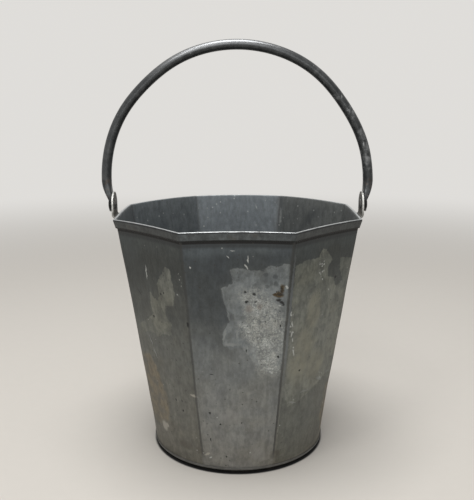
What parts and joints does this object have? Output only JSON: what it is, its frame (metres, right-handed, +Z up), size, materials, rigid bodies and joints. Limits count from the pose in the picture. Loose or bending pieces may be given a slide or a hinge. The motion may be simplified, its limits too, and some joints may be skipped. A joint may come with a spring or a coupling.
{
  "type": "metal bucket",
  "caption": "Weathered galvanised bucket with an octagonal mouth, a folded hem, a round base and a tube handle that swings on riveted ears.",
  "frame": {"origin": "on the floor, below the middle of the bucket", "axes": "+Z up; the two ears and the handle's pivots lie along X"},
  "size_m": [0.3448, 0.3, 0.5199],
  "materials": {
    "zinc_sheet": "old galvanised sheet, dull blue-grey to warm grey, stained, patched and scratched, with small rust spots",
    "ear_steel": "brownish grey, worn bright along the edges",
    "handle_steel": "dark blue-grey, smooth and half glossy, with fine scratches",
    "rivet_steel": "dark and dull, with rust in the joints"
  },
  "bodies": {
    "pail": {"pail_wall": "zinc_sheet", "base_pan": "zinc_sheet", "left_lug": "ear_steel", "right_lug": "ear_steel", "left_lug_rivets": "rivet_steel", "right_lug_rivets": "rivet_steel", "left_pivot_rivet": "rivet_steel", "right_pivot_rivet": "rivet_steel"},
    "handle": {"bail": "handle_steel"}
  },
  "joints": [
    {"name": "handle_swing", "type": "hinge", "parent": "pail", "child": "handle", "pos_m": [0, 0, 0.3165], "axis": [1, 0, 0], "range_deg": [-133, 133]}
  ]
}
